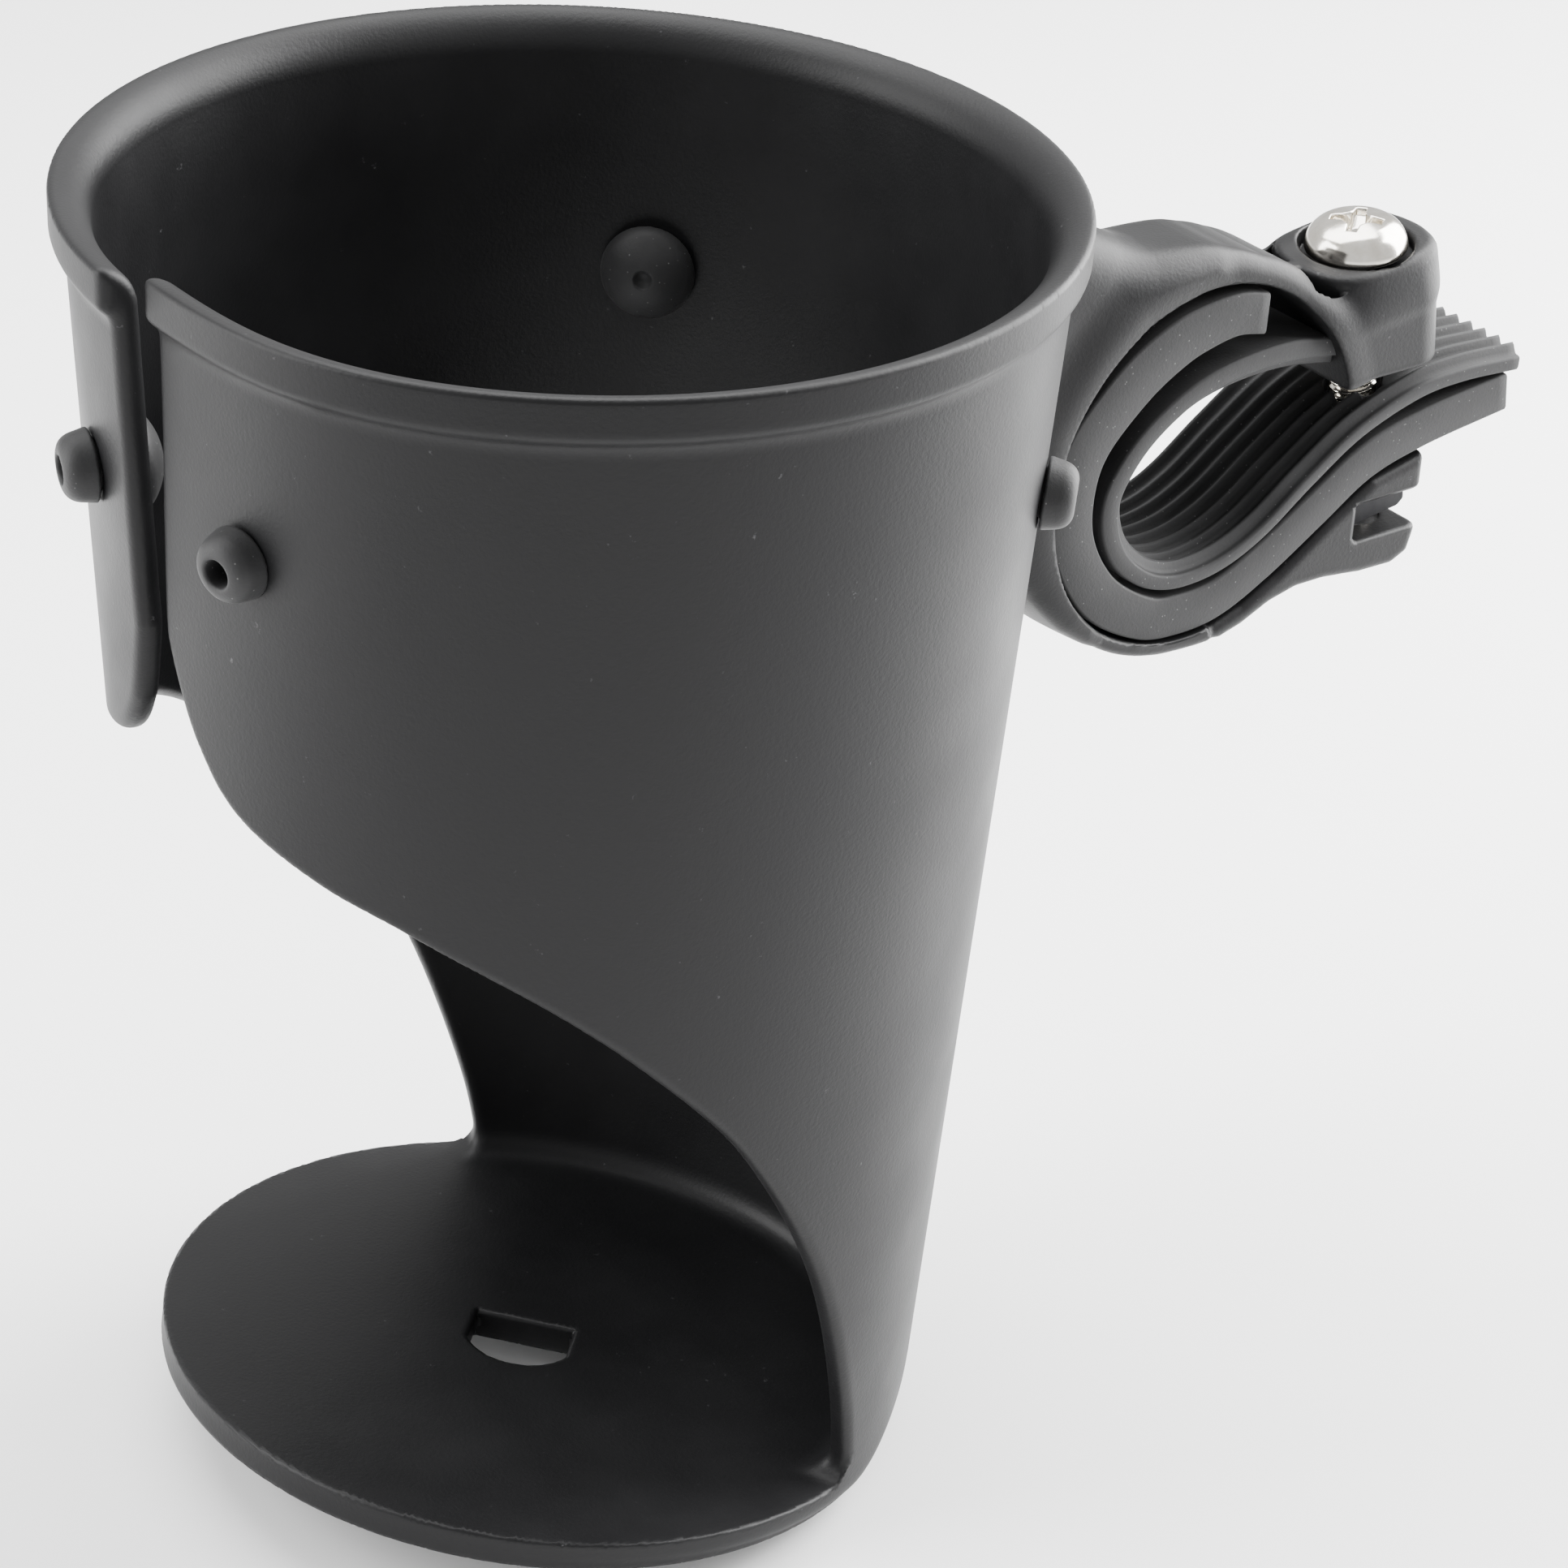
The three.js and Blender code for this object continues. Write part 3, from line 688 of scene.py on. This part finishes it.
def nut_field(p):
    """Square nut about the screw's axis, at its own depth."""
    x, y, z = p[:, 0], p[:, 1], p[:, 2] + NUT_DEPTH
    side = box2(x, y, 4, 4, 0.25)
    chamfer = (np.hypot(x, y) + np.abs(z) - 6.0) * 0.7
    body = smax(smax(side, np.abs(z) - 1.35, 0.2), chamfer, 0.2)
    phase = ((p[:, 2]) / 0.8 - np.arctan2(y, x) / (2 * math.pi)) % 1.0
    ridge = 1 - np.abs(2 * phase - 1)
    hole = (np.hypot(x, y) - 2.3 - 0.3 * ridge) * 0.7
    return smax(body, -hole, 0.1)


def build_fasteners(nickel, nut_dark_metal):
    c, s = math.cos(SCREW_LEAN), math.sin(SCREW_LEAN)
    axes = np.array([(c, 0, s), (0, 1, 0), (-s, 0, c)])
    fine = 0.12
    points, quads, normals = skin(screw_field, [-5.4, -5.4, -31.4], [5.4, 5.4, 3.2], fine)
    screw = make_object("pan_head_screw", points @ axes + SCREW_TOP, quads, normals @ axes)
    settle(screw, "screw", "bright_nickel", nickel, "clamp_screw")
    # The nut takes the near-black metal, as dark as the slot round it.
    points, quads, normals = skin(nut_field, [-4.4, -4.4, -29.8], [4.4, 4.4, -26.2], fine)
    nut = make_object("thread_nut", points @ axes + SCREW_TOP, quads, normals @ axes)
    settle(nut, "jaw", "dark_steel", nut_dark_metal, "square_nut")


# ---------------------------------------------------------------- shims

def on_bore(radius, degrees):
    return BORE_X + radius * math.cos(degrees * DEG), BORE_Z + radius * math.sin(degrees * DEG)


def arc_station(radius, degrees, thickness):
    return (*on_bore(radius, degrees), thickness)


OUTER_ROUTE = [  # middle of the strip and its thickness, from the tip under the ear round to the tail
    arc_station(16.5, 64, 4.3), arc_station(15.9, 77, 4.6), arc_station(15.1, 91, 5.0),
    arc_station(14.6, 107, 5.5), arc_station(14.4, 130, 5.8), arc_station(15.5, 158, 5.7),
    arc_station(16.0, 178, 5.4), arc_station(16.2, 200, 5.0), arc_station(16.25, 225, 4.9),
    arc_station(16.35, 250, 4.6), arc_station(16.3, 266, 4.6),
    (76.2, 63.7, 4.6), (82, 66.3, 4.6), (88.9, 70.5, 4.6), (95.4, 74.4, 4.5), (103, 76.4, 4.4),
    (114.8, 77.9, 4.2),
]
INNER_ROUTE = [
    (90.7, 87.8, 3.2), (84, 88.85, 3.3), (77.7, 88.7, 3.2), (72.3, 87.7, 3.2), (68, 85.7, 3.3),
    (64.4, 82.9, 3.4), (61.9, 79.3, 3.5), (61.5, 76.2, 3.4), (62.6, 72.9, 3.2), (64.7, 70.4, 3.0),
    (67.8, 68.4, 2.8), (71.6, 67.6, 2.7), (76.5, 68.2, 2.7), (81.5, 70.4, 2.7), (87.4, 74.6, 2.7),
    (93.8, 78.6, 2.7), (101.5, 81.2, 2.7), (108, 81.8, 2.7), (116.1, 81.4, 2.7),
]
INNER_FAR_SIDE = 11.5  # the ribbed shim reaches past the band on the far side
RIBS = 8
RIB_DEPTH = 1.15


def even_line(route, spacing):
    """Stations at even distances along a smooth line through the route, with their tangents."""
    fine = smooth_line(route, 3000)
    run = np.concatenate([[0], np.cumsum(np.linalg.norm(np.diff(fine[:, :2], axis=0), axis=1))])
    count = int(run[-1] / spacing) + 1
    at = np.linspace(0, run[-1], count)
    line = np.stack([np.interp(at, run, fine[:, i]) for i in range(3)], 1)
    tangent = np.gradient(line[:, :2], axis=0)
    return line, tangent / np.linalg.norm(tangent, axis=1, keepdims=True), at


def shim_section(thickness, ribbed):
    """Closed ring of (across, offset): ribs on the bar's side, which is offset > 0."""
    half = (SHIM_HALF + INNER_FAR_SIDE) / 2 if ribbed else SHIM_HALF
    corner = 0.3
    depth = RIB_DEPTH if ribbed else 0.0
    across = np.linspace(-half + corner, half - corner, RIBS * 10 + 1)
    wave = 0.5 - 0.5 * np.cos(2 * np.pi * RIBS * (across + half - corner) / (2 * half - 2 * corner))
    top = thickness / 2 - depth + depth * wave**2.2
    low, side_top = -thickness / 2, thickness / 2 - depth
    ring = list(zip(across, top))
    ring += [(half - 0.09, side_top - 0.09), (half, side_top - corner), (half, low + corner)]
    ring += [(half - 0.09, low + 0.09), (half - corner, low)]
    ring += [(x, low) for x in np.linspace(half - 1.2, -half + 1.2, 9)]
    ring += [(-half + corner, low), (-half + 0.09, low + 0.09), (-half, low + corner)]
    ring += [(-half, side_top - corner), (-half + 0.09, side_top - 0.09)]
    return np.array(ring)


def build_shim(name, node, route, ribbed, material):
    line, tangent, run = even_line(route, 0.45)
    insets = [(0.0, 0.22), (0.08, 0.07), (0.22, 0.0)]  # stations at each end, drawn in round its edges
    rings = []
    total = len(line)
    for i in range(total):
        ring = shim_section(line[i, 2], ribbed)
        t = tangent[i]
        side = np.array([-t[1], t[0]])
        upright = max(0.0, 1 - run[i] / 4.5)  # the tip is cut upright, not square to the strip
        side = side * (1 - upright) + np.array([0.0, -1.0]) / max(0.5, -side[1]) * upright
        last = total - 1 - i
        centre, inset = line[i, :2], 0.0
        if i < 3:
            shift, inset = insets[i]
            centre = line[0, :2] + tangent[0] * shift
        elif last < 3:
            shift, inset = insets[last]
            centre = line[-1, :2] - tangent[-1] * shift
        ring = ring * (1 - inset / np.abs(ring).max(0))
        middle = (INNER_FAR_SIDE - SHIM_HALF) / 2 if ribbed else 0.0
        rings.append([(centre[0] + side[0] * n, a + middle, centre[1] + side[1] * n) for a, n in ring])
    size = len(rings[0])
    points = np.array(rings).reshape(-1, 3)
    faces = []
    for i in range(total - 1):
        for k in range(size):
            a, b = i * size + k, i * size + (k + 1) % size
            faces.append((a, b, b + size, a + size))
    faces.append(tuple(range(size))[::-1])
    faces.append(tuple(range((total - 1) * size, total * size)))
    o = make_object(name, points, faces)
    bm = bmesh.new()
    bm.from_mesh(o.data)
    bmesh.ops.recalc_face_normals(bm, faces=bm.faces)
    bm.to_mesh(o.data)
    bm.free()
    for polygon in o.data.polygons:
        polygon.use_smooth = polygon.loop_total == 4
    drill_shim(o)
    settle(o, None, "shim_rubber", material, node)
    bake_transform(o)
    return o


def drill_shim(o):
    """The screw's hole through the tail."""
    bm = bmesh.new()
    bmesh.ops.create_cone(bm, segments=40, radius1=3.1 * MM, radius2=3.1 * MM, depth=24 * MM, cap_ends=True)
    lean = Matrix.Rotation(-SCREW_LEAN, 4, "Y")
    centre = SCREW_TOP + np.array([math.sin(SCREW_LEAN), 0, -math.cos(SCREW_LEAN)]) * 17
    bm.transform(Matrix.Translation(Vector(place(centre))) @ lean)
    mesh = bpy.data.meshes.new("drill")
    bm.to_mesh(mesh)
    bm.free()
    drill = bpy.data.objects.new("drill", mesh)
    bpy.context.scene.collection.objects.link(drill)
    cut = o.modifiers.new("hole", "BOOLEAN")
    cut.operation = "DIFFERENCE"
    cut.solver = "EXACT"
    cut.object = drill
    depsgraph = bpy.context.evaluated_depsgraph_get()
    made = bpy.data.meshes.new_from_object(o.evaluated_get(depsgraph))
    o.modifiers.clear()
    o.data = made
    bpy.data.objects.remove(drill)
    bpy.data.meshes.remove(mesh)


# ---------------------------------------------------------------- materials

def new_material(name):
    m = bpy.data.materials.new(name)
    m.use_nodes = True
    m.node_tree.nodes.clear()
    return m, m.node_tree.nodes, m.node_tree.links


def node(nodes, kind, **values):
    n = nodes.new(kind)
    for key, value in values.items():
        if key in n.inputs:
            n.inputs[key].default_value = value
        else:
            setattr(n, key, value)
    return n


def plastic_material():
    """Black moulded polypropylene: fine spark grain, faint flow variation, a few pale scuffs."""
    m, nodes, links = new_material("black_plastic_moulded")
    out = node(nodes, "ShaderNodeOutputMaterial")
    shader = node(nodes, "ShaderNodeBsdfPrincipled")
    shader.inputs["IOR"].default_value = 1.49
    shader.inputs["Metallic"].default_value = 0.0
    shader.inputs["Specular IOR Level"].default_value = 0.17
    links.new(shader.outputs[0], out.inputs[0])
    where = node(nodes, "ShaderNodeTexCoord")
    flow = node(nodes, "ShaderNodeTexNoise", Scale=55.0, Detail=4.0, Roughness=0.55)
    links.new(where.outputs["Object"], flow.inputs["Vector"])
    tone = node(nodes, "ShaderNodeValToRGB")
    tone.color_ramp.elements[0].position = 0.3
    tone.color_ramp.elements[0].color = (0.0050, 0.0050, 0.0054, 1)
    tone.color_ramp.elements[1].position = 0.72
    tone.color_ramp.elements[1].color = (0.0078, 0.0078, 0.0083, 1)
    links.new(flow.outputs["Fac"], tone.inputs["Fac"])
    scuff = node(nodes, "ShaderNodeTexNoise", Scale=900.0, Detail=3.0, Roughness=0.7)
    links.new(where.outputs["Object"], scuff.inputs["Vector"])
    spots = node(nodes, "ShaderNodeValToRGB")
    spots.color_ramp.elements[0].position = 0.70
    spots.color_ramp.elements[0].color = (0, 0, 0, 1)
    spots.color_ramp.elements[1].position = 0.80
    spots.color_ramp.elements[1].color = (1, 1, 1, 1)
    links.new(scuff.outputs["Fac"], spots.inputs["Fac"])
    mix = node(nodes, "ShaderNodeMix", data_type="RGBA")
    mix.inputs[7].default_value = (0.05, 0.05, 0.052, 1)
    links.new(spots.outputs["Color"], mix.inputs[0])
    links.new(tone.outputs["Color"], mix.inputs[6])
    links.new(mix.outputs[2], shader.inputs["Base Color"])
    rough = node(nodes, "ShaderNodeMapRange")
    rough.inputs["From Min"].default_value = 0.3
    rough.inputs["From Max"].default_value = 0.7
    rough.inputs["To Min"].default_value = 0.40
    rough.inputs["To Max"].default_value = 0.52
    links.new(flow.outputs["Fac"], rough.inputs["Value"])
    links.new(rough.outputs["Result"], shader.inputs["Roughness"])
    grain = node(nodes, "ShaderNodeTexNoise", Scale=2600.0, Detail=2.0, Roughness=0.6)
    links.new(where.outputs["Object"], grain.inputs["Vector"])
    bump = node(nodes, "ShaderNodeBump", Strength=0.22, Distance=0.00012)
    links.new(grain.outputs["Fac"], bump.inputs["Height"])
    links.new(bump.outputs["Normal"], shader.inputs["Normal"])
    return m


def rubber_material(name, tone_low, tone_high, roughness):
    m, nodes, links = new_material(name)
    out = node(nodes, "ShaderNodeOutputMaterial")
    shader = node(nodes, "ShaderNodeBsdfPrincipled")
    shader.inputs["IOR"].default_value = 1.45
    shader.inputs["Specular IOR Level"].default_value = 0.25
    shader.inputs["Sheen Weight"].default_value = 0.03
    shader.inputs["Sheen Roughness"].default_value = 0.5
    links.new(shader.outputs[0], out.inputs[0])
    where = node(nodes, "ShaderNodeTexCoord")
    cloud = node(nodes, "ShaderNodeTexNoise", Scale=160.0, Detail=5.0, Roughness=0.6)
    links.new(where.outputs["Object"], cloud.inputs["Vector"])
    tone = node(nodes, "ShaderNodeValToRGB")
    tone.color_ramp.elements[0].position = 0.32
    tone.color_ramp.elements[0].color = (*tone_low, 1)
    tone.color_ramp.elements[1].position = 0.7
    tone.color_ramp.elements[1].color = (*tone_high, 1)
    links.new(cloud.outputs["Fac"], tone.inputs["Fac"])
    dust = node(nodes, "ShaderNodeTexVoronoi", Scale=1100.0)
    links.new(where.outputs["Object"], dust.inputs["Vector"])
    speck = node(nodes, "ShaderNodeValToRGB")
    speck.color_ramp.elements[0].position = 0.02
    speck.color_ramp.elements[0].color = (1, 1, 1, 1)
    speck.color_ramp.elements[1].position = 0.11
    speck.color_ramp.elements[1].color = (0, 0, 0, 1)
    links.new(dust.outputs["Distance"], speck.inputs["Fac"])
    mix = node(nodes, "ShaderNodeMix", data_type="RGBA")
    mix.inputs[7].default_value = (0.11, 0.11, 0.11, 1)
    links.new(speck.outputs["Color"], mix.inputs[0])
    links.new(tone.outputs["Color"], mix.inputs[6])
    links.new(mix.outputs[2], shader.inputs["Base Color"])
    rough = node(nodes, "ShaderNodeMapRange")
    rough.inputs["To Min"].default_value = roughness - 0.06
    rough.inputs["To Max"].default_value = roughness + 0.08
    links.new(cloud.outputs["Fac"], rough.inputs["Value"])
    links.new(rough.outputs["Result"], shader.inputs["Roughness"])
    grain = node(nodes, "ShaderNodeTexNoise", Scale=3200.0, Detail=2.0, Roughness=0.6)
    links.new(where.outputs["Object"], grain.inputs["Vector"])
    bump = node(nodes, "ShaderNodeBump", Strength=0.25, Distance=0.0001)
    links.new(grain.outputs["Fac"], bump.inputs["Height"])
    links.new(bump.outputs["Normal"], shader.inputs["Normal"])
    return m


def metal_material(name, low, high, roughness):
    m, nodes, links = new_material(name)
    out = node(nodes, "ShaderNodeOutputMaterial")
    shader = node(nodes, "ShaderNodeBsdfPrincipled")
    shader.inputs["Metallic"].default_value = 1.0
    links.new(shader.outputs[0], out.inputs[0])
    where = node(nodes, "ShaderNodeTexCoord")
    cloud = node(nodes, "ShaderNodeTexNoise", Scale=420.0, Detail=4.0, Roughness=0.6)
    links.new(where.outputs["Object"], cloud.inputs["Vector"])
    tone = node(nodes, "ShaderNodeValToRGB")
    tone.color_ramp.elements[0].position = 0.3
    tone.color_ramp.elements[0].color = (*low, 1)
    tone.color_ramp.elements[1].position = 0.65
    tone.color_ramp.elements[1].color = (*high, 1)
    links.new(cloud.outputs["Fac"], tone.inputs["Fac"])
    links.new(tone.outputs["Color"], shader.inputs["Base Color"])
    rough = node(nodes, "ShaderNodeMapRange")
    rough.inputs["To Min"].default_value = roughness * 0.7
    rough.inputs["To Max"].default_value = roughness * 1.4
    links.new(cloud.outputs["Fac"], rough.inputs["Value"])
    links.new(rough.outputs["Result"], shader.inputs["Roughness"])
    grain = node(nodes, "ShaderNodeTexNoise", Scale=1800.0, Detail=2.0, Roughness=0.5)
    links.new(where.outputs["Object"], grain.inputs["Vector"])
    bump = node(nodes, "ShaderNodeBump", Strength=0.12, Distance=0.00005)
    links.new(grain.outputs["Fac"], bump.inputs["Height"])
    links.new(bump.outputs["Normal"], shader.inputs["Normal"])
    return m


# ---------------------------------------------------------------- studio

def area_light(name, where, aim, size, watts, colour=(1, 1, 1)):
    data = bpy.data.lights.new(name, "AREA")
    data.shape = "RECTANGLE"
    data.size, data.size_y = size
    data.energy = watts
    data.color = colour
    o = bpy.data.objects.new(name, data)
    o.location = where
    o.rotation_euler = (Vector(aim) - Vector(where)).to_track_quat("-Z", "Y").to_euler()
    bpy.context.scene.collection.objects.link(o)
    return o


def build_studio():
    scene = bpy.context.scene
    world = bpy.data.worlds.new("studio")
    scene.world = world
    world.use_nodes = True
    background = world.node_tree.nodes["Background"]
    background.inputs["Color"].default_value = (1, 1, 1, 1)
    background.inputs["Strength"].default_value = 1.08
    floor_z = cad_low.z - 0.0005
    mesh = bpy.data.meshes.new("studio_floor")
    reach = 6.0
    corners = [(x * reach, y * reach, floor_z) for x, y in ((-1, -1), (1, -1), (1, 1), (-1, 1))]
    mesh.from_pydata(corners, [], [(0, 1, 2, 3)])
    floor = bpy.data.objects.new("studio_floor", mesh)
    scene.collection.objects.link(floor)
    m, nodes, links = new_material("studio_paper")
    out = node(nodes, "ShaderNodeOutputMaterial")
    shader = node(nodes, "ShaderNodeBsdfPrincipled", Roughness=0.9)
    shader.inputs["Base Color"].default_value = (0.86, 0.86, 0.86, 1)
    links.new(shader.outputs[0], out.inputs[0])
    floor.data.materials.append(m)
    aim = place([10, 0, 70])
    area_light("key_right", place([520, -60, 260]), aim, (0.5, 0.7), 22)
    area_light("fill_left", place([-460, 260, 240]), aim, (0.4, 0.6), 7)
    area_light("top", place([60, 200, 560]), aim, (0.6, 0.4), 7)


def build_camera():
    position = Vector(place([-210.659, -300.852, 269.039]))
    forward = Vector((0.54055, 0.68445, -0.48922))
    right = Vector((0.80165, -0.59548, 0.05265))
    up = Vector((0.25529, 0.42064, 0.87057))
    data = bpy.data.cameras.new("camera")
    data.sensor_width = 36.0
    data.lens = 104.17
    data.clip_start = 0.01
    camera = bpy.data.objects.new("camera", data)
    turn = Matrix((right, up, -forward)).transposed().to_4x4()
    camera.matrix_world = Matrix.Translation(position) @ turn
    bpy.context.scene.collection.objects.link(camera)
    bpy.context.scene.camera = camera


# ---------------------------------------------------------------- assembly

build_camera()
build_studio()
black = plastic_material()
shim_rubber = rubber_material("shim_rubber_matte", (0.0125, 0.0125, 0.013), (0.02, 0.02, 0.0206), 0.62)
plug_rubber = rubber_material("bumper_rubber_matte", (0.013, 0.013, 0.0135), (0.021, 0.021, 0.0216), 0.55)
nickel = metal_material("nickel_plate", (0.66, 0.62, 0.55), (0.80, 0.77, 0.71), 0.16)
# The nut's metal is made near-black so it looks as dark as the slot it sits in, under the lower ear.
nut_dark_metal = metal_material("near_black_nut_steel", (0.010, 0.010, 0.011), (0.022, 0.022, 0.023), 0.5)

build_moulding(black)
build_bumpers(plug_rubber)
build_fasteners(nickel, nut_dark_metal)
build_shim("shim_outer_strip", "outer_shim", OUTER_ROUTE, False, shim_rubber)
build_shim("shim_inner_strip", "inner_shim", INNER_ROUTE, True, shim_rubber)
